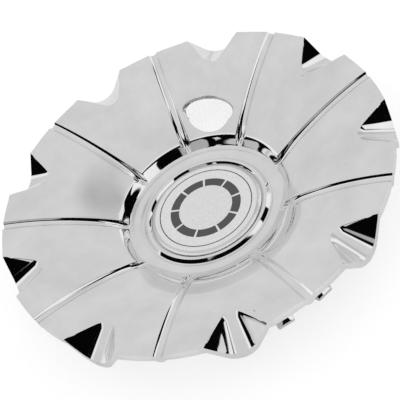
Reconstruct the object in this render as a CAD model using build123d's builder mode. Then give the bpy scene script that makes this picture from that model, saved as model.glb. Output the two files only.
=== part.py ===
from build123d import *
import os
from math import cos, radians, sin, sqrt, tan

# Chrome plated wheel center cap: a concave dish of nine panels with sunken channels between
# them, nine scoops in the rim, a stepped hub with a medallion and three groups of snap legs.
# The face looks up along +Z, the axis is Z and z = 0 is the flat underside of the hub.
os.makedirs("parts", exist_ok=True)

# Rim and panels, in millimetres and degrees
rim_radius = 110.0
panel_count = 9
wall = 2.8
rim_lip_height = 4.3
rim_lip_width = 3.0
panel_arc_radius = 165.0
panel_rim_slope = 9.5
panel_inner_radius = 48.6

# Channels between the panels: shallow at the rim, deep at the hub
channel_width = 5.6
channel_rim_depth = 1.7
channel_hub_depth = 5.3
channel_floor_radius = 146.0

# Scoops in the rim: a rounded V that tapers towards a point above the dish
scoop_mouth_width = 32.4
scoop_side_angle = 48.0
scoop_bottom_radius = 11.0
scoop_apex_radius = 64.2
scoop_apex_rise = 6.8
scoop_wall = 3.4

# Hub: a sloped wall down from the panels, a rounded bead, then a low boss with the medallion's seat
hub_wall = 2.5
hub_foot_radius = 44.4
hub_groove_drop = 0.3
bead_crown_radius = 41.0
bead_rise = 0.7
boss_foot_radius = 37.4
boss_foot_drop = 0.7
boss_top_radius = 35.0
boss_rise = 1.3
seat_bevel = 1.4
seat_radius = 32.2
seat_depth = 2.2
hub_floor = 2.6

# Medallion
medallion_clearance = 0.2
medallion_thickness = 2.3
medallion_bevel_width = 2.2
medallion_bevel_height = 1.2

# Oval access hole in the panel at +Y
access_hole_length = 30.6
access_hole_width = 19.4
access_hole_radius = 61.2
access_hole_offset = -1.9
access_hole_tilt = -12.0

# Snap legs: groups of two barbed legs with a round-ended stop between them
leg_group_count = 3
leg_spread = 7.0
leg_width = 9.0
leg_thickness = 2.6
leg_outer_radius = 95.5
leg_bottom = 5.2
barb_reach = 2.6
barb_height = 3.4
barb_lead = 1.6
stop_width = 5.4
stop_bottom = 7.7

# Derived places: a scoop stands at +Y, and a channel half a panel away from it
panel_angle = 360 / panel_count
scoop_start_angle = 90
channel_start_angle = scoop_start_angle - panel_angle / 2

# Heights from the hub's underside up to the rim, and the panels' arc through both
seat_height = hub_floor
boss_top_height = seat_height + seat_depth
valley_height = boss_top_height - boss_rise
channel_hub_height = valley_height + hub_groove_drop
panel_inner_height = channel_hub_height + channel_hub_depth
arc_center_radius = rim_radius + panel_arc_radius * sin(radians(panel_rim_slope))
rim_above_center = panel_arc_radius * cos(radians(panel_rim_slope))
panel_inner_above_center = sqrt(panel_arc_radius**2 - (arc_center_radius - panel_inner_radius) ** 2)
panel_center = (arc_center_radius, panel_inner_height - panel_inner_above_center)
rim_height = panel_center[1] + rim_above_center
channel_rim_height = rim_height - channel_rim_depth
hub_back_radius = panel_inner_radius + hub_wall
lip_inner_radius = rim_radius - rim_lip_width


def arc_height(center, radius, r):
    """Height at radius r of an arc about a center below it."""
    return center[1] + sqrt(radius**2 - (r - center[0]) ** 2)


def panel_height(r, depth=0.0):
    """Height of the panels' face at radius r, or of the layer that lies this deep under it."""
    return arc_height(panel_center, panel_arc_radius - depth, r)


# Channel floor: an arc of given radius from just above the hub's groove to just under the rim
chord_r = rim_radius - panel_inner_radius
chord_z = channel_rim_height - channel_hub_height
chord = sqrt(chord_r**2 + chord_z**2)
rise = sqrt(channel_floor_radius**2 - (chord / 2) ** 2)
channel_center = (
    (rim_radius + panel_inner_radius) / 2 + rise * chord_z / chord,
    (channel_hub_height + channel_rim_height) / 2 - rise * chord_r / chord,
)


def channel_height(r, depth=0.0):
    """Height of the channels' floor at radius r, or of the layer that lies this deep under it."""
    return arc_height(channel_center, channel_floor_radius - depth, r)


def profile_arc(height, start, end, depth=0.0):
    """Arc along one of the two dish curves, drawn in the radial section."""
    middle = (start + end) / 2
    ThreePointArc(
        (start, height(start, depth)),
        (middle, height(middle, depth)),
        (end, height(end, depth)),
    )


# Dish and hub: one radial section, revolved
with BuildPart() as dish:
    with BuildSketch(Plane.XZ):
        with BuildLine():
            profile_arc(panel_height, rim_radius, panel_inner_radius)
            Line((panel_inner_radius, panel_inner_height), (hub_foot_radius, valley_height))
            ThreePointArc(
                (hub_foot_radius, valley_height),
                (bead_crown_radius, valley_height + bead_rise),
                (boss_foot_radius, valley_height - boss_foot_drop),
            )
            Polyline(
                (boss_foot_radius, valley_height - boss_foot_drop),
                (boss_top_radius, boss_top_height),
                (seat_radius + seat_bevel, boss_top_height),
                (seat_radius, boss_top_height - seat_bevel),
                (seat_radius, seat_height),
                (0, seat_height),
                (0, 0),
                (hub_back_radius, 0),
                (hub_back_radius, panel_height(hub_back_radius, wall)),
            )
            profile_arc(panel_height, hub_back_radius, lip_inner_radius, wall)
            Polyline(
                (lip_inner_radius, panel_height(lip_inner_radius, wall)),
                (lip_inner_radius, rim_height - rim_lip_height),
                (rim_radius, rim_height - rim_lip_height),
                (rim_radius, rim_height),
            )
        make_face()
    revolve(axis=Axis.Z)

# Space under the panels' face, which keeps the scoops' walls from standing above it
with BuildPart() as under_face:
    with BuildSketch(Plane.XZ):
        with BuildLine():
            profile_arc(panel_height, rim_radius, scoop_apex_radius)
            Polyline(
                (scoop_apex_radius, panel_height(scoop_apex_radius)),
                (scoop_apex_radius, 0),
                (rim_radius, 0),
                (rim_radius, rim_height),
            )
        make_face()
    revolve(axis=Axis.Z)

# Trough that carries one channel behind the panels
trough_width = channel_width + 2 * wall
half_wall = wall / 2
with BuildPart() as trough:
    with BuildSketch(Plane.XZ):
        with BuildLine():
            profile_arc(channel_height, rim_radius, hub_back_radius)
            Line(
                (hub_back_radius, channel_height(hub_back_radius)),
                (hub_back_radius, channel_height(hub_back_radius, wall)),
            )
            profile_arc(channel_height, hub_back_radius, lip_inner_radius, wall)
            Polyline(
                (lip_inner_radius, channel_height(lip_inner_radius, wall)),
                (lip_inner_radius, channel_rim_height - rim_lip_height),
                (rim_radius, channel_rim_height - rim_lip_height),
                (rim_radius, channel_rim_height),
            )
        make_face()
    extrude(amount=trough_width / 2, both=True)
    with BuildSketch(Plane.XZ):
        with BuildLine():
            profile_arc(panel_height, rim_radius, hub_back_radius, half_wall)
            Line(
                (hub_back_radius, panel_height(hub_back_radius, half_wall)),
                (hub_back_radius, channel_height(hub_back_radius, half_wall)),
            )
            profile_arc(channel_height, hub_back_radius, rim_radius, half_wall)
            Line(
                (rim_radius, channel_height(rim_radius, half_wall)),
                (rim_radius, panel_height(rim_radius, half_wall)),
            )
        make_face()
    extrude(amount=trough_width / 2, both=True)

# Cutter for one channel
cut_clearance = 5.0
with BuildPart() as channel_cutter:
    with BuildSketch(Plane.XZ):
        with BuildLine():
            profile_arc(channel_height, rim_radius + cut_clearance, panel_inner_radius)
            Polyline(
                (panel_inner_radius, channel_hub_height),
                (hub_foot_radius - hub_groove_drop, channel_hub_height),
                (hub_foot_radius - hub_groove_drop, rim_height + cut_clearance),
                (rim_radius + cut_clearance, rim_height + cut_clearance),
                (rim_radius + cut_clearance, channel_height(rim_radius + cut_clearance)),
            )
        make_face()
    extrude(amount=channel_width / 2, both=True)


def scoop_section(station, offset):
    """Rounded V across a scoop at a distance from the axis, grown outwards by the offset."""
    scale = (station - scoop_apex_radius) / (rim_radius - scoop_apex_radius)
    slope = tan(radians(scoop_side_angle))
    top = rim_height + scoop_apex_rise
    mouth_depth = scoop_mouth_width / 2 * slope
    vertex = top - scale * (scoop_apex_rise + mouth_depth)
    vertex -= offset / cos(radians(scoop_side_angle))
    half_width = (top - vertex) / slope
    with BuildSketch(Plane((station, 0, 0), x_dir=(0, 1, 0), z_dir=(1, 0, 0))) as section:
        with BuildLine():
            FilletPolyline(
                (-half_width, top),
                (0, vertex),
                (half_width, top),
                radius=scale * scoop_bottom_radius + offset,
            )
            Line((half_width, top), (-half_width, top))
        make_face()
    return section.sketch


scoop_stations = (scoop_apex_radius + cut_clearance, rim_radius + cut_clearance)
with BuildPart() as scoop_cutter:
    loft([scoop_section(station, 0.0) for station in scoop_stations], ruled=True)

with BuildPart() as scoop_body:
    loft([scoop_section(station, scoop_wall) for station in scoop_stations], ruled=True)
    add(under_face.part, mode=Mode.INTERSECT)

# One barbed snap leg
leg_inner_radius = leg_outer_radius - leg_thickness
leg_top = panel_height(leg_inner_radius, half_wall)
with BuildPart() as leg:
    with BuildSketch(Plane.XZ):
        with BuildLine():
            Polyline(
                (leg_outer_radius, leg_top),
                (leg_outer_radius, leg_bottom + barb_height + barb_lead),
                (leg_outer_radius + barb_reach, leg_bottom + barb_height),
                (leg_outer_radius + barb_reach, leg_bottom + barb_lead),
                (leg_outer_radius, leg_bottom),
                (leg_inner_radius, leg_bottom),
                (leg_inner_radius, leg_top),
                close=True,
            )
        make_face()
    extrude(amount=leg_width / 2, both=True)

# Round-ended stop between two legs
stop_top = channel_height(leg_inner_radius, half_wall)
stop_end_height = stop_bottom + stop_width / 2
with BuildPart() as stop:
    with BuildSketch(Plane((leg_inner_radius, 0, 0), x_dir=(0, 1, 0), z_dir=(1, 0, 0))):
        with Locations((0, stop_end_height)):
            Rectangle(stop_width, stop_top - stop_end_height, align=(Align.CENTER, Align.MIN))
            Circle(stop_width / 2)
    extrude(amount=leg_thickness)

# The whole moulding
with BuildPart() as cap_shell:
    add(dish.part)
    with PolarLocations(0, panel_count, start_angle=channel_start_angle):
        add(trough.part)
    with PolarLocations(0, panel_count, start_angle=scoop_start_angle):
        add(scoop_body.part)
    Cylinder(rim_radius, rim_height, align=(Align.CENTER, Align.CENTER, Align.MIN), mode=Mode.INTERSECT)
    with PolarLocations(0, panel_count, start_angle=channel_start_angle):
        add(channel_cutter.part, mode=Mode.SUBTRACT)
    with PolarLocations(0, panel_count, start_angle=scoop_start_angle):
        add(scoop_cutter.part, mode=Mode.SUBTRACT)
    with BuildSketch(Plane.XY):
        with Locations((access_hole_offset, access_hole_radius)):
            Ellipse(access_hole_length / 2, access_hole_width / 2, rotation=access_hole_tilt)
    extrude(amount=rim_height, mode=Mode.SUBTRACT)
    for side in (-leg_spread, leg_spread):
        with PolarLocations(0, leg_group_count, start_angle=channel_start_angle + side):
            add(leg.part)
    with PolarLocations(0, leg_group_count, start_angle=channel_start_angle):
        add(stop.part)
cap_shell.part.label = "cap_shell"
export_step(cap_shell.part, "parts/cap_shell.step")

# Medallion glued on the floor of the seat
medallion_radius = seat_radius - medallion_clearance
with BuildPart() as medallion:
    with BuildSketch(Plane.XY.offset(seat_height)):
        Circle(medallion_radius)
    extrude(amount=medallion_thickness)
    chamfer(
        medallion.faces().sort_by(Axis.Z)[-1].edges(),
        length=medallion_bevel_height,
        length2=medallion_bevel_width,
    )
medallion.part.label = "medallion"
export_step(medallion.part, "parts/medallion.step")
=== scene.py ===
from math import asin, cos, pi, radians, sin, sqrt, tan

import bmesh
import bpy
from mathutils import Matrix, Quaternion, Vector


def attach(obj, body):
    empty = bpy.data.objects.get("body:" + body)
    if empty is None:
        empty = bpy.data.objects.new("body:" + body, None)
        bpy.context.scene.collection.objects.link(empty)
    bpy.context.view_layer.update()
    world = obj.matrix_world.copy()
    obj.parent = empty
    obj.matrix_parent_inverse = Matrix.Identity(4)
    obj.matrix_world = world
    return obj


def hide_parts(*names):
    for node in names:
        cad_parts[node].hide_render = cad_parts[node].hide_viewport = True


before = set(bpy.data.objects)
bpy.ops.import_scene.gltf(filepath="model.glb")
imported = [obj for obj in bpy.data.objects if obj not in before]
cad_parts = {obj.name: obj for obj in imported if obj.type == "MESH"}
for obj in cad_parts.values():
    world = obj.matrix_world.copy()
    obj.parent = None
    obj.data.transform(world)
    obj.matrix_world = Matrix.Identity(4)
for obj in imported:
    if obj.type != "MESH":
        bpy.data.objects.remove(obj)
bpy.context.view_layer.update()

# Sizes of the moulding and the medallion in millimetres and degrees, as in the part's source
rim_radius = 110.0
panel_count = 9
panel_arc_radius = 165.0
panel_rim_slope = 9.5
panel_inner_radius = 48.6
panel_inner_height = 9.1
rim_lip_height = 4.3
channel_half_width = 2.8
channel_hub_height = 3.8
channel_rim_depth = 1.7
channel_floor_radius = 146.0
scoop_mouth_half_width = 16.2
scoop_side_angle = 48.0
scoop_bottom_radius = 11.0
scoop_apex_radius = 64.2
scoop_apex_rise = 6.8
valley_height = 3.5
hub_foot_radius = 44.4
bead_crown_radius = 41.0
bead_crown_height = 4.2
boss_foot_radius = 37.4
boss_foot_height = 2.8
boss_top_radius = 35.0
boss_top_height = 4.8
seat_bevel = 1.4
seat_radius = 32.2
seat_height = 2.6
hub_back_radius = 51.1
hub_edge_height = 3.0
hole_half_width = 9.7
hole_offset = -1.9
hole_radius = 61.2
hole_tilt = -12.0
leg_outer_radius = 95.5
leg_thickness = 2.6
leg_width = 9.0
leg_bottom = 5.2
leg_spread = 7.0
leg_groups = 3
barb_reach = 2.6
barb_height = 3.4
barb_lead = 1.6
stop_width = 5.4
stop_bottom = 7.7
medallion_radius = 32.0
medallion_top = 4.9
medallion_face_radius = 29.8
medallion_bevel_height = 1.2

# Sizes that only the looks have: the shell's wall, the U of the channels and their fall to the hub,
# the sloped ends of the access hole, and the rounds on the edges
skin = 2.4
channel_fall_radius = 60.0
channel_hub_depth = 3.0
hole_straight_half_length = 13.1
hole_ease_half_length = 16.3
hole_ease_half_width = 9.0
hole_ease_depth = 12.0
hole_ease_rise = 4.0
hole_room = 1.0
edge_round = 0.6
corner_room = 3.0
channel_edge_round = 0.5
hub_edge_round = 8.0
hub_foot_round = 4.0
hub_foot_height = 3.6
hub_wall_run = 4.0
boss_round = 0.9
medallion_round = 0.5

# Print on the medallion, in millimetres
block_inner_radius = 15.5
block_outer_radius = 20.5
border_inner_radius = 26.4
border_outer_radius = 27.0
bare_inset = 0.2

# Fineness of the meshes: points nearer than the weld are one point, and a point this near a face lies on it
weld = 0.002
on_face = 0.01
hub_columns = 16
side_columns = 40
round_steps = 4
wall_rows = 14
panel_rows = 18
scoop_rows = 5
edge_segments = 2
hub_round_steps = 12
boss_round_steps = 6
medallion_round_steps = 5
bead_steps = 24
stop_arc_steps = 12
hole_segments = 96
hub_turn_steps = 288
medallion_turn_steps = 192
halvings = 50

panel_columns = hub_columns + side_columns
crease_angle = radians(30)
half_panel = radians(180 / panel_count)
first_scoop = radians(90)
first_leg_group = first_scoop - half_panel
panel_center_radius = rim_radius + panel_arc_radius * sin(radians(panel_rim_slope))
panel_center_height = panel_inner_height - sqrt(
    panel_arc_radius**2 - (panel_center_radius - panel_inner_radius) ** 2
)


def panel_height(r, depth=0.0):
    """Height of the panels' face at radius r, or of the layer this deep under it."""
    return panel_center_height + sqrt((panel_arc_radius - depth) ** 2 - (panel_center_radius - r) ** 2)


rim_height = panel_height(rim_radius)
chord_run = rim_radius - panel_inner_radius
chord_rise = rim_height - channel_rim_depth - channel_hub_height
chord = sqrt(chord_run**2 + chord_rise**2)
sagitta_leg = sqrt(channel_floor_radius**2 - (chord / 2) ** 2)
channel_center_radius = (rim_radius + panel_inner_radius) / 2 + sagitta_leg * chord_rise / chord
channel_center_height = channel_hub_height + chord_rise / 2 - sagitta_leg * chord_run / chord


def channel_height(r, depth=0.0):
    """Height at radius r of the channels' floor in the part's source, or of the layer this deep under it."""
    run = channel_center_radius - r
    return channel_center_height + sqrt((channel_floor_radius - depth) ** 2 - run**2)


scoop_slope = tan(radians(scoop_side_angle))
scoop_top = rim_height + scoop_apex_rise
scoop_drop = scoop_apex_rise + scoop_mouth_half_width * scoop_slope
scoop_round_height = scoop_bottom_radius / cos(radians(scoop_side_angle)) - scoop_drop
scoop_tangent = (
    scoop_bottom_radius * sin(radians(scoop_side_angle)),
    scoop_round_height - scoop_bottom_radius * cos(radians(scoop_side_angle)),
)
scoop_apex = Vector((scoop_apex_radius, 0, scoop_top))


def scoop_ray(q):
    """From the scoop's apex to its mouth: q is 0 to 1 round the bottom and 1 to 2 up the side."""
    if q <= 1:
        turn = radians(scoop_side_angle) * q
        across = scoop_bottom_radius * sin(turn)
        up = scoop_round_height - scoop_bottom_radius * cos(turn)
    else:
        across = scoop_tangent[0] - (q - 1) * scoop_tangent[1] / scoop_slope
        up = scoop_tangent[1] * (2 - q)
    return Vector((rim_radius - scoop_apex_radius, across, up))


def bisect(f, low, high):
    """Root of a function that is above zero at low and below it at high."""
    for step in range(halvings):
        middle = (low + high) / 2
        if f(middle) > 0:
            low = middle
        else:
            high = middle
    return (low + high) / 2


def scoop_rim_share(q):
    """Share of the scoop's ray at which it meets the rim cylinder."""
    return bisect(lambda t: rim_radius - (scoop_apex + t * scoop_ray(q)).xy.length, 0.5, 1.2)


def above_panel(point):
    """How far a point lies above the panels' face."""
    return point.z - panel_height(point.xy.length)


def scoop_edge_share(q):
    """Share of the scoop's ray at which it leaves the panels' face."""
    return bisect(lambda t: above_panel(scoop_apex + t * scoop_ray(q)), 0.05, scoop_rim_share(q))


scoop_corner = bisect(lambda q: -above_panel(scoop_apex + scoop_rim_share(q) * scoop_ray(q)), 1.0, 2.0)
column_rays = []
for column in range(panel_columns + 1):
    if column <= hub_columns:
        column_rays.append(column / hub_columns)
    else:
        column_rays.append(1 + (scoop_corner - 1) * (column - hub_columns) / side_columns)
scoop_edge = [scoop_apex + scoop_edge_share(q) * scoop_ray(q) for q in column_rays]
scoop_lip = [scoop_apex + scoop_rim_share(q) * scoop_ray(q) for q in column_rays]


def polar(r, angle, z):
    """Point at a radius, an angle and a height."""
    return Vector((r * cos(angle), r * sin(angle), z))


def rounded(corners, radius, steps):
    """Points of a line through corners, each of which is rounded by an arc."""
    points = [Vector(corners[0])]
    for before, corner, after in zip(corners, corners[1:], corners[2:]):
        corner = Vector(corner)
        inward = (corner - Vector(before)).normalized()
        outward = (Vector(after) - corner).normalized()
        turn = inward.angle_signed(outward)
        reach = radius * tan(abs(turn) / 2)
        point = corner - reach * inward
        points.append(point)
        for step in range(steps):
            chord = 2 * radius * sin(abs(turn) / steps / 2)
            heading = Matrix.Rotation(-turn * (step + 0.5) / steps, 2) @ inward
            point = point + chord * heading
            points.append(point)
    points.append(Vector(corners[-1]))
    return points


# Wall from the panels down to the hub, with a round at its edge and its foot that mirrors in narrow bands
hub_wall_corners = [
    (panel_inner_radius + hub_wall_run, panel_height(panel_inner_radius + hub_wall_run)),
    (panel_inner_radius, panel_inner_height),
    (hub_foot_radius, hub_foot_height),
    (hub_foot_radius - hub_wall_run, hub_foot_height),
]
hub_edge = rounded(hub_wall_corners[:3], hub_edge_round, hub_round_steps)[1:-1]
hub_foot = rounded(hub_wall_corners[1:], hub_foot_round, hub_round_steps)[1:-1]
hub_wall_line = hub_edge + hub_foot
panel_edge_radius = hub_wall_line[0].x
foot_end_radius = hub_wall_line[-1].x


def hub_wall_height(r):
    """Height of the hub's wall at radius r."""
    for outer, inner in zip(hub_wall_line, hub_wall_line[1:]):
        if inner.x <= r <= outer.x:
            return inner.y + (outer.y - inner.y) * (r - inner.x) / (outer.x - inner.x)
    return hub_wall_line[0].y if r > panel_edge_radius else hub_foot_height


def channel_fall(r):
    """How far a channel has left the panel for the hub's foot, from 0 to 1."""
    return min(1, max(0, (channel_fall_radius - r) / (channel_fall_radius - panel_inner_radius)))


def floor_height(r):
    """Height of a channel's middle line: shallow along the panel, then down to the hub's foot."""
    if r >= panel_inner_radius:
        depth = channel_rim_depth + (channel_hub_depth - channel_rim_depth) * channel_fall(r) ** 2
        return panel_height(min(r, rim_radius)) - depth
    share = (panel_inner_radius - r) / (panel_inner_radius - foot_end_radius)
    start_height = panel_inner_height - channel_hub_depth
    return start_height + (hub_foot_height - start_height) * share


def wall_place(row, r):
    """Half width and depth under the panel of one row across a channel: a round edge, then half of a U."""
    deep = panel_height(r) - floor_height(r)
    squareness = 2 + channel_fall(r)
    turn_in = channel_half_width - channel_edge_round / 2
    if row <= round_steps:
        share = row / round_steps
        start = channel_half_width + channel_edge_round
        end_depth = deep * (1 - (turn_in / channel_half_width) ** squareness)
        rest = 1 - share
        half_width = start * rest**2 + 2 * channel_half_width * share * rest + turn_in * share**2
        return half_width, end_depth * share**2
    half_width = turn_in * (wall_rows - row) / (wall_rows - round_steps)
    return half_width, deep * (1 - (half_width / channel_half_width) ** squareness)


def row_start(row):
    """Radius at which a row of the channel's wall meets the hub's wall."""
    if row == 0:
        return panel_edge_radius
    if row == wall_rows:
        return foot_end_radius
    return bisect(
        lambda r: panel_height(r) - hub_wall_height(r) - wall_place(row, r)[1],
        foot_end_radius,
        panel_edge_radius,
    )


row_starts = [row_start(row) for row in range(wall_rows + 1)]


def channel_wall_point(u, v):
    """Half of a channel, from the panel down to its middle line and from the hub out to the rim."""
    row = round(v * wall_rows)
    r = row_starts[row] + u * (rim_radius - row_starts[row])
    half_width, depth = wall_place(row, r)
    return polar(r, half_panel - asin(half_width / r), panel_height(min(r, rim_radius)) - depth)


def hub_wall_point(u, v):
    """Sloped wall from the panel's inner edge down to the hub."""
    row = round(v * wall_rows)
    r = row_starts[row]
    half_width, depth = wall_place(row, r)
    return polar(r, u * (half_panel - asin(half_width / r)), panel_height(r) - depth)


def panel_point(u, v):
    """Panel between the scoop's edge and its own border, which is the hub's arc and then the channel."""
    column = round(u * panel_columns)
    inner = scoop_edge[column]
    share = max(0, column - hub_columns) / side_columns
    r = panel_edge_radius + share * (rim_radius - panel_edge_radius)
    border = half_panel - asin((channel_half_width + channel_edge_round) / r)
    angle = min(1, column / hub_columns) * border
    r = inner.xy.length + v * (r - inner.xy.length)
    angle = v * angle + (1 - v) * asin(inner.y / inner.xy.length)
    return polar(r, angle, panel_height(min(r, rim_radius)))


def scoop_point(u, v):
    """Scoop between its edge in the panel and its lip in the rim."""
    column = round(u * panel_columns)
    return scoop_edge[column].lerp(scoop_lip[column], v)


def add_patch(bm, columns, rows, place):
    """Grid of faces whose points are put in place by their shares along and across the patch."""
    made = bmesh.ops.create_grid(bm, x_segments=columns, y_segments=rows, size=0.5)
    for vert in made["verts"]:
        vert.co = place(vert.co.x + 0.5, vert.co.y + 0.5)


def all_geometry(bm):
    return bm.verts[:] + bm.edges[:] + bm.faces[:]


def repeat_round(bm, count):
    """Copies a mesh round the axis, so that there are this many of it."""
    bmesh.ops.spin(
        bm,
        geom=all_geometry(bm),
        axis=(0, 0, 1),
        angle=2 * pi * (count - 1) / count,
        steps=count - 1,
        use_duplicate=True,
    )


def pushed_outline(bm, points, reach):
    """Adds a block, a flat outline pushed along a vector, and gives its points."""
    face = bm.faces.new([bm.verts.new(point) for point in points])
    grown = bmesh.ops.extrude_face_region(bm, geom=[face])
    new_verts = [item for item in grown["geom"] if isinstance(item, bmesh.types.BMVert)]
    bmesh.ops.translate(bm, verts=new_verts, vec=reach)
    return new_verts + face.verts[:]


def new_piece(name, bm):
    """Object of a mesh in millimetres, put in metres at the origin and shaded smooth."""
    bmesh.ops.scale(bm, vec=(0.001, 0.001, 0.001), verts=bm.verts)
    for face in bm.faces:
        face.smooth = True
    mesh = bpy.data.meshes.new(name)
    bm.to_mesh(mesh)
    bm.free()
    mesh.set_sharp_from_angle(angle=crease_angle)
    piece = bpy.data.objects.new(name, mesh)
    bpy.context.scene.collection.objects.link(piece)
    return piece


def settle(piece):
    """Turns the piece's modifiers into its mesh."""
    bpy.context.view_layer.update()
    graph = bpy.context.evaluated_depsgraph_get()
    shaped = bpy.data.meshes.new_from_object(piece.evaluated_get(graph))
    piece.modifiers.clear()
    piece.data = shaped
    shaped.set_sharp_from_angle(angle=crease_angle)


def bevel_edges(bm, edges, width):
    bmesh.ops.bevel(
        bm,
        geom=edges,
        offset=width,
        offset_type="OFFSET",
        affect="EDGES",
        segments=edge_segments,
        profile=0.5,
        material=-1,
        clamp_overlap=False,
    )


# Dish: half a panel with its scoop, half channel and the hub's wall, mirrored and turned round the axis
dish = bmesh.new()
add_patch(dish, panel_columns, panel_rows, panel_point)
add_patch(dish, panel_columns, scoop_rows, scoop_point)
add_patch(dish, side_columns, wall_rows, channel_wall_point)
add_patch(dish, hub_columns, wall_rows, hub_wall_point)
bmesh.ops.remove_doubles(dish, verts=dish.verts, dist=weld)
bmesh.ops.mirror(dish, geom=all_geometry(dish), axis="Y", merge_dist=weld)
bmesh.ops.rotate(dish, verts=dish.verts, matrix=Matrix.Rotation(first_scoop, 3, "Z"))
repeat_round(dish, panel_count)
bmesh.ops.remove_doubles(dish, verts=dish.verts, dist=weld)
rim_edges = [
    edge
    for edge in dish.edges
    if edge.is_boundary and min(vert.co.xy.length for vert in edge.verts) > rim_radius - on_face
]
lip = bmesh.ops.extrude_edge_only(dish, edges=rim_edges)
lip_verts = [item for item in lip["geom"] if isinstance(item, bmesh.types.BMVert)]
bmesh.ops.translate(dish, verts=lip_verts, vec=(0, 0, -rim_lip_height))
bmesh.ops.recalc_face_normals(dish, faces=dish.faces)
if sum(face.normal.z * face.calc_area() for face in dish.faces) < 0:
    bmesh.ops.reverse_faces(dish, faces=dish.faces)
plated_dish = new_piece("plated_dish", dish)
wall = plated_dish.modifiers.new("wall", "SOLIDIFY")
wall.thickness = skin / 1000
wall.offset = -1
wall.use_even_offset = True
wall.use_quality_normals = True

# Access hole: an oval cylinder cut through the panel. A flat egg shape, laid along the panel's slope,
# gives the hole's two ends their slope.
hole_turn = Matrix.Rotation(radians(hole_tilt), 3, "Z")
hole_slope = asin((panel_center_radius - hole_radius) / panel_arc_radius)
hole_cutter = bmesh.new()
bmesh.ops.create_cone(
    hole_cutter, cap_ends=True, segments=hole_segments, radius1=1, radius2=1, depth=2 * rim_height
)
hole_size = (hole_straight_half_length, hole_half_width, 1)
hole_place = (hole_offset, hole_radius, rim_height / 2)
ease_cutter = bmesh.new()
bmesh.ops.create_uvsphere(ease_cutter, u_segments=hole_segments, v_segments=hole_segments // 2, radius=1)
ease_size = (hole_ease_half_length, hole_ease_half_width, hole_ease_depth)
ease_turn = Matrix.Rotation(hole_slope, 3, "X") @ hole_turn
ease_place = (hole_offset, hole_radius, panel_height(hole_radius) + hole_ease_rise)
for bm, size, turn, place in (
    (hole_cutter, hole_size, hole_turn, hole_place),
    (ease_cutter, ease_size, ease_turn, ease_place),
):
    bmesh.ops.scale(bm, vec=size, verts=bm.verts)
    bmesh.ops.rotate(bm, verts=bm.verts, matrix=turn)
    bmesh.ops.translate(bm, verts=bm.verts, vec=place)
cutter = new_piece("hole_cutter", hole_cutter)
easer = new_piece("ease_cutter", ease_cutter)
for name, tool in (("hole", cutter), ("ease", easer)):
    cut = plated_dish.modifiers.new(name, "BOOLEAN")
    cut.object = tool
    cut.operation = "DIFFERENCE"
    cut.solver = "MANIFOLD"
settle(plated_dish)
bpy.data.objects.remove(cutter)
bpy.data.objects.remove(easer)

# The panels' edges are rounded as plating leaves them, short of the scoops' sharp corners in the rim
corner_points = []
for scoop in range(panel_count):
    turn = Matrix.Rotation(first_scoop + 2 * half_panel * scoop, 3, "Z")
    x, y, z = scoop_lip[-1]
    corner_points += [turn @ Vector((x, side * y, z)) for side in (-1, 1)]
hole_middle = Vector((hole_offset, hole_radius))


def takes_round(edge):
    """True for an edge in the panels' face that has room beside it for the round."""
    points = [vert.co * 1000 for vert in edge.verts]
    if edge.calc_face_angle(0) < crease_angle or any(abs(above_panel(point)) > on_face for point in points):
        return False
    if any((point.xy - hole_middle).length < hole_ease_half_length + hole_room for point in points):
        return False
    return all((point - corner).length > corner_room for point in points for corner in corner_points)


dish = bmesh.new()
dish.from_mesh(plated_dish.data)
bevel_edges(dish, [edge for edge in dish.edges if takes_round(edge)], edge_round / 1000)
for face in dish.faces:
    face.smooth = True
dish.to_mesh(plated_dish.data)
dish.free()
plated_dish.data.set_sharp_from_angle(angle=crease_angle)

# Hub: one section with the bead, the boss and the medallion's seat, spun round the axis
bead_start = Vector((hub_foot_radius, valley_height))
bead_crown = Vector((bead_crown_radius, bead_crown_height))
bead_end = Vector((boss_foot_radius, boss_foot_height))


def circle_through(a, b, c):
    """Center of the circle through three points."""
    d = 2 * (a.x * (b.y - c.y) + b.x * (c.y - a.y) + c.x * (a.y - b.y))
    aa, bb, cc = a.length_squared, b.length_squared, c.length_squared
    x = (aa * (b.y - c.y) + bb * (c.y - a.y) + cc * (a.y - b.y)) / d
    y = (aa * (c.x - b.x) + bb * (a.x - c.x) + cc * (b.x - a.x)) / d
    return Vector((x, y))


bead_center = circle_through(bead_start, bead_crown, bead_end)
bead_radius = (bead_crown - bead_center).length
hub_section = [(hub_back_radius, 0), (hub_back_radius, hub_edge_height)]
for step in range(bead_steps + 1):
    r = bead_start.x + (bead_end.x - bead_start.x) * step / bead_steps
    hub_section.append((r, bead_center.y + sqrt(bead_radius**2 - (r - bead_center.x) ** 2)))
boss_corners = [
    hub_section[-2],
    bead_end,
    (boss_top_radius, boss_top_height),
    (seat_radius + seat_bevel, boss_top_height),
    (seat_radius, boss_top_height - seat_bevel),
    (seat_radius, seat_height),
]
boss_section = [tuple(point) for point in rounded(boss_corners, boss_round, boss_round_steps)[1:]]
hub_section = hub_section[:-1] + boss_section


def spun(section, steps):
    """Closed solid of a section that is spun round the axis, with its ends closed by flat discs."""
    bm = bmesh.new()
    verts = [bm.verts.new((r, 0, z)) for r, z in section]
    edges = [bm.edges.new(pair) for pair in zip(verts, verts[1:])]
    bmesh.ops.spin(bm, geom=verts + edges, axis=(0, 0, 1), angle=2 * pi, steps=steps, use_merge=True)
    bmesh.ops.remove_doubles(bm, verts=bm.verts, dist=weld)
    bmesh.ops.holes_fill(bm, edges=[edge for edge in bm.edges if edge.is_boundary], sides=0)
    bmesh.ops.recalc_face_normals(bm, faces=bm.faces)
    return bm


plated_hub = new_piece("plated_hub", spun(hub_section, hub_turn_steps))

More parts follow.
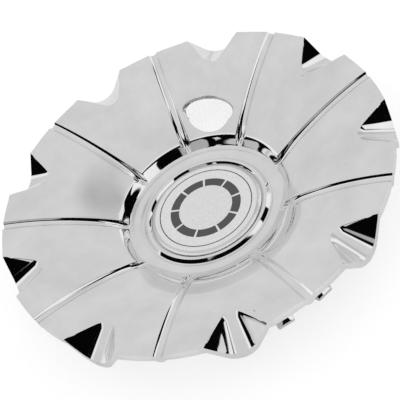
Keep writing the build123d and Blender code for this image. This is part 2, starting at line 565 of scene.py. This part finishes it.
# Snap legs and stops behind the rim. The stops end just under the channel floor of the part's source.
leg_inner_radius = leg_outer_radius - leg_thickness
leg_top = panel_height(leg_inner_radius, skin / 2)
stop_top = channel_height(leg_inner_radius, skin / 2)
leg_section = [
    (leg_outer_radius, leg_top),
    (leg_outer_radius, leg_bottom + barb_height + barb_lead),
    (leg_outer_radius + barb_reach, leg_bottom + barb_height),
    (leg_outer_radius + barb_reach, leg_bottom + barb_lead),
    (leg_outer_radius, leg_bottom),
    (leg_inner_radius, leg_bottom),
    (leg_inner_radius, leg_top),
]
legs = bmesh.new()
for side in (-leg_spread, leg_spread):
    outline = [(r, -leg_width / 2, z) for r, z in leg_section]
    leg_verts = pushed_outline(legs, outline, (0, leg_width, 0))
    bmesh.ops.rotate(legs, verts=leg_verts, matrix=Matrix.Rotation(radians(side), 3, "Z"))
stop_radius = stop_width / 2
stop_outline = [(-stop_radius, stop_top)]
for step in range(stop_arc_steps + 1):
    turn = pi + pi * step / stop_arc_steps
    stop_outline.append((stop_radius * cos(turn), stop_bottom + stop_radius + stop_radius * sin(turn)))
stop_outline.append((stop_radius, stop_top))
pushed_outline(legs, [(leg_inner_radius, y, z) for y, z in stop_outline], (leg_thickness, 0, 0))
bmesh.ops.recalc_face_normals(legs, faces=legs.faces)
bevel_edges(legs, [edge for edge in legs.edges if edge.calc_face_angle(0) > crease_angle], edge_round)
bmesh.ops.rotate(legs, verts=legs.verts, matrix=Matrix.Rotation(first_leg_group, 3, "Z"))
repeat_round(legs, leg_groups)
plated_legs = new_piece("plated_legs", legs)

# Medallion: a thin disc with a bevelled edge
medallion_corners = [
    (medallion_radius, seat_height),
    (medallion_radius, medallion_top - medallion_bevel_height),
    (medallion_face_radius, medallion_top),
    (medallion_face_radius / 2, medallion_top),
]
medallion_line = rounded(medallion_corners, medallion_round, medallion_round_steps)
medallion_section = [tuple(point) for point in medallion_line]
printed_medallion = new_piece("printed_medallion", spun(medallion_section, medallion_turn_steps))


def srgb(code):
    """Linear colour of an sRGB hex value."""
    parts = [int(code[i : i + 2], 16) / 255 for i in (1, 3, 5)]
    return tuple(p / 12.92 if p <= 0.04045 else ((p + 0.055) / 1.055) ** 2.4 for p in parts) + (1.0,)


def socket(node, key):
    """A node's live input of that name or number."""
    if isinstance(key, int) or key.isdigit():
        return node.inputs[int(key)]
    return next(item for item in node.inputs if item.name == key and item.enabled)


def add_node(tree, kind, links=None, **settings):
    """Adds a node, sets its sockets and properties by name and links its inputs."""
    node = tree.nodes.new(kind)
    for key, value in settings.items():
        if hasattr(node, key):
            setattr(node, key, value)
        else:
            socket(node, key).default_value = value
    for key, source in (links or {}).items():
        tree.links.new(source, socket(node, key))
    return node


def set_ramp(ramp, stops):
    """Gives a colour ramp its stops, each a position and an sRGB hex value."""
    while len(ramp.elements) < len(stops):
        ramp.elements.new(1.0)
    for stop, (position, code) in zip(ramp.elements, stops):
        stop.position = position
        stop.color = srgb(code)


def new_material(name):
    """Material, its node tree and its shader."""
    material = bpy.data.materials.new(name)
    material.use_nodes = True
    return material, material.node_tree, material.node_tree.nodes["Principled BSDF"]


# Bright chrome plating on moulded ABS: a clear mirror that is a little wavy from the moulding, with a thin
# uneven haze on it and a few dark specks where dirt was under the plating. Sizes are in metres.
haze_size = 0.018
speck_spacing = 0.012
speck_rarity = 0.7
sink_size = 0.03
sink_depth = 0.00006
chrome, tree, shader = new_material("chrome_plated_abs")
shader.inputs["Metallic"].default_value = 1.0
place = add_node(tree, "ShaderNodeTexCoord").outputs["Object"]
haze = add_node(
    tree, "ShaderNodeTexNoise", {"Vector": place}, Scale=1 / haze_size, Detail=4.0, Roughness=0.6
)
haze_level = add_node(
    tree,
    "ShaderNodeMapRange",
    {"Value": haze.outputs["Fac"]},
    **{"From Min": 0.35, "From Max": 0.7, "To Min": 0.015, "To Max": 0.07},
)
tree.links.new(haze_level.outputs["Result"], shader.inputs["Roughness"])
tint = add_node(tree, "ShaderNodeValToRGB", {"Fac": haze.outputs["Fac"]})
set_ramp(tint.color_ramp, ((0.3, "#f0f0f0"), (0.75, "#e2e2e2")))
speck_cells = add_node(
    tree, "ShaderNodeTexVoronoi", {"Vector": place}, Scale=1 / speck_spacing, Randomness=1.0
)
speck_size = add_node(
    tree,
    "ShaderNodeMapRange",
    {"Value": speck_cells.outputs["Distance"]},
    **{"From Min": 0.02, "From Max": 0.04, "To Min": 1.0, "To Max": 0.0},
)
speck_pick = add_node(tree, "ShaderNodeSeparateColor", {"Color": speck_cells.outputs["Color"]})
speck_few = add_node(
    tree, "ShaderNodeMath", {0: speck_pick.outputs["Red"]}, operation="GREATER_THAN", **{"1": speck_rarity}
)
speck = add_node(
    tree, "ShaderNodeMath", {0: speck_size.outputs["Result"], 1: speck_few.outputs[0]}, operation="MULTIPLY"
)
plating = add_node(
    tree,
    "ShaderNodeMix",
    {"Factor": speck.outputs[0], "A": tint.outputs["Color"]},
    data_type="RGBA",
    B=srgb("#6e6e6e"),
)
tree.links.new(plating.outputs["Result"], shader.inputs["Base Color"])
sink = add_node(
    tree, "ShaderNodeTexNoise", {"Vector": place}, Scale=1 / sink_size, Detail=2.0, Roughness=0.4
)
wave = add_node(tree, "ShaderNodeBump", {"Height": sink.outputs["Fac"]}, Strength=1.0, Distance=sink_depth)
tree.links.new(wave.outputs["Normal"], shader.inputs["Normal"])

# Screen printed aluminium disc with a satin face: pale silver ink with a fine grain, a ring of dark grey
# blocks and a thin dark border, and the bare bright metal on its bevelled edge. Sizes are in metres.
grain_size = 0.0009
grain_depth = 0.00003
block_gap = 0.14
printed, tree, shader = new_material("screen_printed_aluminium")
place = add_node(tree, "ShaderNodeTexCoord").outputs["Object"]
flat = add_node(tree, "ShaderNodeSeparateXYZ", {"Vector": place})
around = add_node(tree, "ShaderNodeMath", {0: flat.outputs["Y"], 1: flat.outputs["X"]}, operation="ARCTAN2")
level = add_node(tree, "ShaderNodeCombineXYZ", {"X": flat.outputs["X"], "Y": flat.outputs["Y"]})
radius = add_node(tree, "ShaderNodeVectorMath", {0: level.outputs[0]}, operation="LENGTH").outputs["Value"]


def ring(inner, outer):
    """1 between two radii in millimetres, 0 outside them."""
    return add_node(
        tree,
        "ShaderNodeMath",
        {0: radius},
        operation="COMPARE",
        **{"1": (inner + outer) / 2000, "2": (outer - inner) / 2000},
    ).outputs[0]


block_turn = add_node(
    tree, "ShaderNodeMath", {0: around.outputs[0]}, operation="MULTIPLY", **{"1": panel_count / 2}
)
block_wave = add_node(tree, "ShaderNodeMath", {0: block_turn.outputs[0]}, operation="COSINE")
block_size = add_node(tree, "ShaderNodeMath", {0: block_wave.outputs[0]}, operation="ABSOLUTE")
block_on = add_node(
    tree, "ShaderNodeMath", {0: block_size.outputs[0]}, operation="GREATER_THAN", **{"1": block_gap}
)
block_ring = ring(block_inner_radius, block_outer_radius)
blocks = add_node(tree, "ShaderNodeMath", {0: block_on.outputs[0], 1: block_ring}, operation="MULTIPLY")
border = ring(border_inner_radius, border_outer_radius)
dark = add_node(tree, "ShaderNodeMath", {0: blocks.outputs[0], 1: border}, operation="MAXIMUM")
grain = add_node(
    tree, "ShaderNodeTexNoise", {"Vector": place}, Scale=1 / grain_size, Detail=2.0, Roughness=0.7
)
ink = add_node(tree, "ShaderNodeValToRGB", {"Fac": grain.outputs["Fac"]})
set_ramp(ink.color_ramp, ((0.3, "#d6d6d6"), (0.7, "#e6e6e6")))
print_colour = add_node(
    tree,
    "ShaderNodeMix",
    {"Factor": dark.outputs[0], "A": ink.outputs["Color"]},
    data_type="RGBA",
    B=srgb("#484848"),
)
tree.links.new(print_colour.outputs["Result"], shader.inputs["Base Color"])
bare_radius = (medallion_face_radius - bare_inset) / 1000
bare = add_node(tree, "ShaderNodeMath", {0: radius}, operation="GREATER_THAN", **{"1": bare_radius})
tree.links.new(bare.outputs[0], shader.inputs["Metallic"])
satin = add_node(
    tree, "ShaderNodeMapRange", {"Value": bare.outputs[0]}, **{"To Min": 0.42, "To Max": 0.08}
)
tree.links.new(satin.outputs["Result"], shader.inputs["Roughness"])
tooth = add_node(
    tree, "ShaderNodeBump", {"Height": grain.outputs["Fac"]}, Strength=0.3, Distance=grain_depth
)
tree.links.new(tooth.outputs["Normal"], shader.inputs["Normal"])

for piece, material, slot in (
    (plated_dish, chrome, "chrome_plating"),
    (plated_hub, chrome, "chrome_plating"),
    (plated_legs, chrome, "chrome_plating"),
    (printed_medallion, printed, "medallion_face"),
):
    piece.data.materials.clear()
    piece.data.materials.append(material)
    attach(piece, "root")
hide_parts("cap_shell")
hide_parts("medallion")

# Plain white floor just under the cap. It glows a little to the camera, so that it stays white and keeps
# the cap's shadow.
floor_half_size = 3000.0
floor_gap = 0.1
floor_glow_strength = 0.74
floor_mesh = bmesh.new()
bmesh.ops.create_grid(floor_mesh, x_segments=1, y_segments=1, size=floor_half_size)
bmesh.ops.translate(floor_mesh, verts=floor_mesh.verts, vec=(0, 0, -floor_gap))
floor = new_piece("floor", floor_mesh)
floor_paint, tree, shader = new_material("white_floor")
shader.inputs["Specular IOR Level"].default_value = 0.0
shader.inputs["Emission Color"].default_value = srgb("#ffffff")
floor_path = add_node(tree, "ShaderNodeLightPath")
floor_tone = add_node(
    tree,
    "ShaderNodeMix",
    {"Factor": floor_path.outputs["Is Camera Ray"]},
    data_type="RGBA",
    A=srgb("#f2f2f2"),
    B=srgb("#989898"),
)
floor_glow = add_node(
    tree,
    "ShaderNodeMath",
    {0: floor_path.outputs["Is Camera Ray"]},
    operation="MULTIPLY",
    **{"1": floor_glow_strength},
)
tree.links.new(floor_tone.outputs["Result"], shader.inputs["Base Color"])
tree.links.new(floor_glow.outputs[0], shader.inputs["Emission Strength"])
floor.data.materials.append(floor_paint)

# Camera at the photograph's angle: it leans to the left, so the dish seems to rise to the right
camera_data = bpy.data.cameras.new("camera")
camera_data.sensor_width = 36.0
camera_data.lens = 89.72
camera = bpy.data.objects.new("camera", camera_data)
bpy.context.scene.collection.objects.link(camera)
camera.location = (0.18228, -0.33650, 0.39983)
camera_target = Vector((0.00132, -0.00399, 0.016))
camera_roll = radians(-28.43)
look = (camera_target - camera.location).to_track_quat("-Z", "Y") @ Quaternion((0, 0, 1), camera_roll)
camera.rotation_euler = look.to_euler()
bpy.context.scene.camera = camera

# Studio, drawn in the world by direction: pale walls all round, a dark room behind the camera with a white
# frame round its oval opening, and white and grey cards. Azimuth 0 is the camera's side, in degrees. The
# camera sees plain white behind the cap, and the soft light on matt surfaces is white too.
room_half_width = 126.0
room_half_height = 67.0
world = bpy.data.worlds.new("studio")
world.use_nodes = True
sky = world.node_tree
camera_side = radians(-61.44)
coords = add_node(sky, "ShaderNodeTexCoord")
turned = add_node(
    sky, "ShaderNodeMapping", {"Vector": coords.outputs["Generated"]}, Rotation=(0, 0, -camera_side)
)
split = add_node(sky, "ShaderNodeSeparateXYZ", {"Vector": turned.outputs["Vector"]})
azimuth_turn = add_node(
    sky, "ShaderNodeMath", {0: split.outputs["Y"], 1: split.outputs["X"]}, operation="ARCTAN2"
)
height_turn = add_node(sky, "ShaderNodeMath", {0: split.outputs["Z"]}, operation="ARCSINE")
azimuth = add_node(sky, "ShaderNodeMath", {0: azimuth_turn.outputs[0]}, operation="DEGREES")
height = add_node(sky, "ShaderNodeMath", {0: height_turn.outputs[0]}, operation="DEGREES")
room_place = add_node(sky, "ShaderNodeCombineXYZ", {"X": azimuth.outputs[0], "Y": height.outputs[0]})
room_share = add_node(
    sky,
    "ShaderNodeVectorMath",
    {0: room_place.outputs[0]},
    operation="DIVIDE",
    **{"1": (room_half_width, room_half_height, 1.0)},
)
room_size = add_node(sky, "ShaderNodeVectorMath", {0: room_share.outputs[0]}, operation="LENGTH")
# The ramp ends at 1, so it reads half of the distance and the opening's edge lies near 0.5
room_half = add_node(
    sky, "ShaderNodeMath", {0: room_size.outputs["Value"]}, operation="MULTIPLY", **{"1": 0.5}
)
room = add_node(sky, "ShaderNodeValToRGB", {"Fac": room_half.outputs[0]})
set_ramp(
    room.color_ramp,
    (
        (0.0, "#060606"),
        (0.485, "#060606"),
        (0.495, "#ffffff"),
        (0.525, "#ffffff"),
        (0.545, "#dedede"),
        (1.0, "#e4e4e4"),
    ),
)


def near(tree, value, low, high, soft):
    """1 between two angles and 0 outside them, with a soft change."""
    away = add_node(tree, "ShaderNodeMath", {0: value}, operation="SUBTRACT", **{"1": (low + high) / 2})
    size = add_node(tree, "ShaderNodeMath", {0: away.outputs[0]}, operation="ABSOLUTE")
    half = (high - low) / 2
    edge = add_node(
        tree,
        "ShaderNodeMapRange",
        {"Value": size.outputs[0]},
        interpolation_type="SMOOTHSTEP",
        **{"From Min": half - soft, "From Max": half + soft, "To Min": 1.0, "To Max": 0.0},
    )
    return edge.outputs[0]


def hang_card(tree, behind, colour, azimuths, heights, soft):
    """Colour of the studio with one more card in front of it."""
    across = near(tree, azimuth.outputs[0], *azimuths, soft)
    upright = near(tree, height.outputs[0], *heights, soft)
    shape = add_node(tree, "ShaderNodeMath", {0: across, 1: upright}, operation="MULTIPLY")
    mix = add_node(
        tree,
        "ShaderNodeMix",
        {"Factor": shape.outputs[0], "A": behind},
        data_type="RGBA",
        B=srgb(colour),
    )
    return mix.outputs["Result"]


studio = room.outputs["Color"]
for colour, azimuths, heights, soft in (
    ("#c2c2c2", (100, 130), (42, 62), 9.0),
    ("#ffffff", (29.5, 77), (24, 51), 1.0),
    ("#ffffff", (97, 116), (20, 40), 1.0),
    ("#b4b4b4", (-42, -6), (27, 53), 1.0),
    ("#c8c8c8", (-104, -86), (10, 22), 1.0),
    ("#c8c8c8", (-76, -60), (17, 24), 1.0),
    ("#d8d8d8", (-59, -52), (28, 41), 1.0),
):
    studio = hang_card(sky, studio, colour, azimuths, heights, soft)
path = add_node(sky, "ShaderNodeLightPath")
lit = add_node(
    sky,
    "ShaderNodeMix",
    {"Factor": path.outputs["Is Diffuse Ray"], "A": studio},
    data_type="RGBA",
    B=srgb("#ffffff"),
)
seen = add_node(
    sky,
    "ShaderNodeMix",
    {"Factor": path.outputs["Is Camera Ray"], "A": lit.outputs["Result"]},
    data_type="RGBA",
    B=srgb("#ffffff"),
)
sky.links.new(seen.outputs["Result"], sky.nodes["Background"].inputs["Color"])
bpy.context.scene.world = world
bpy.context.scene.view_settings.view_transform = "Standard"
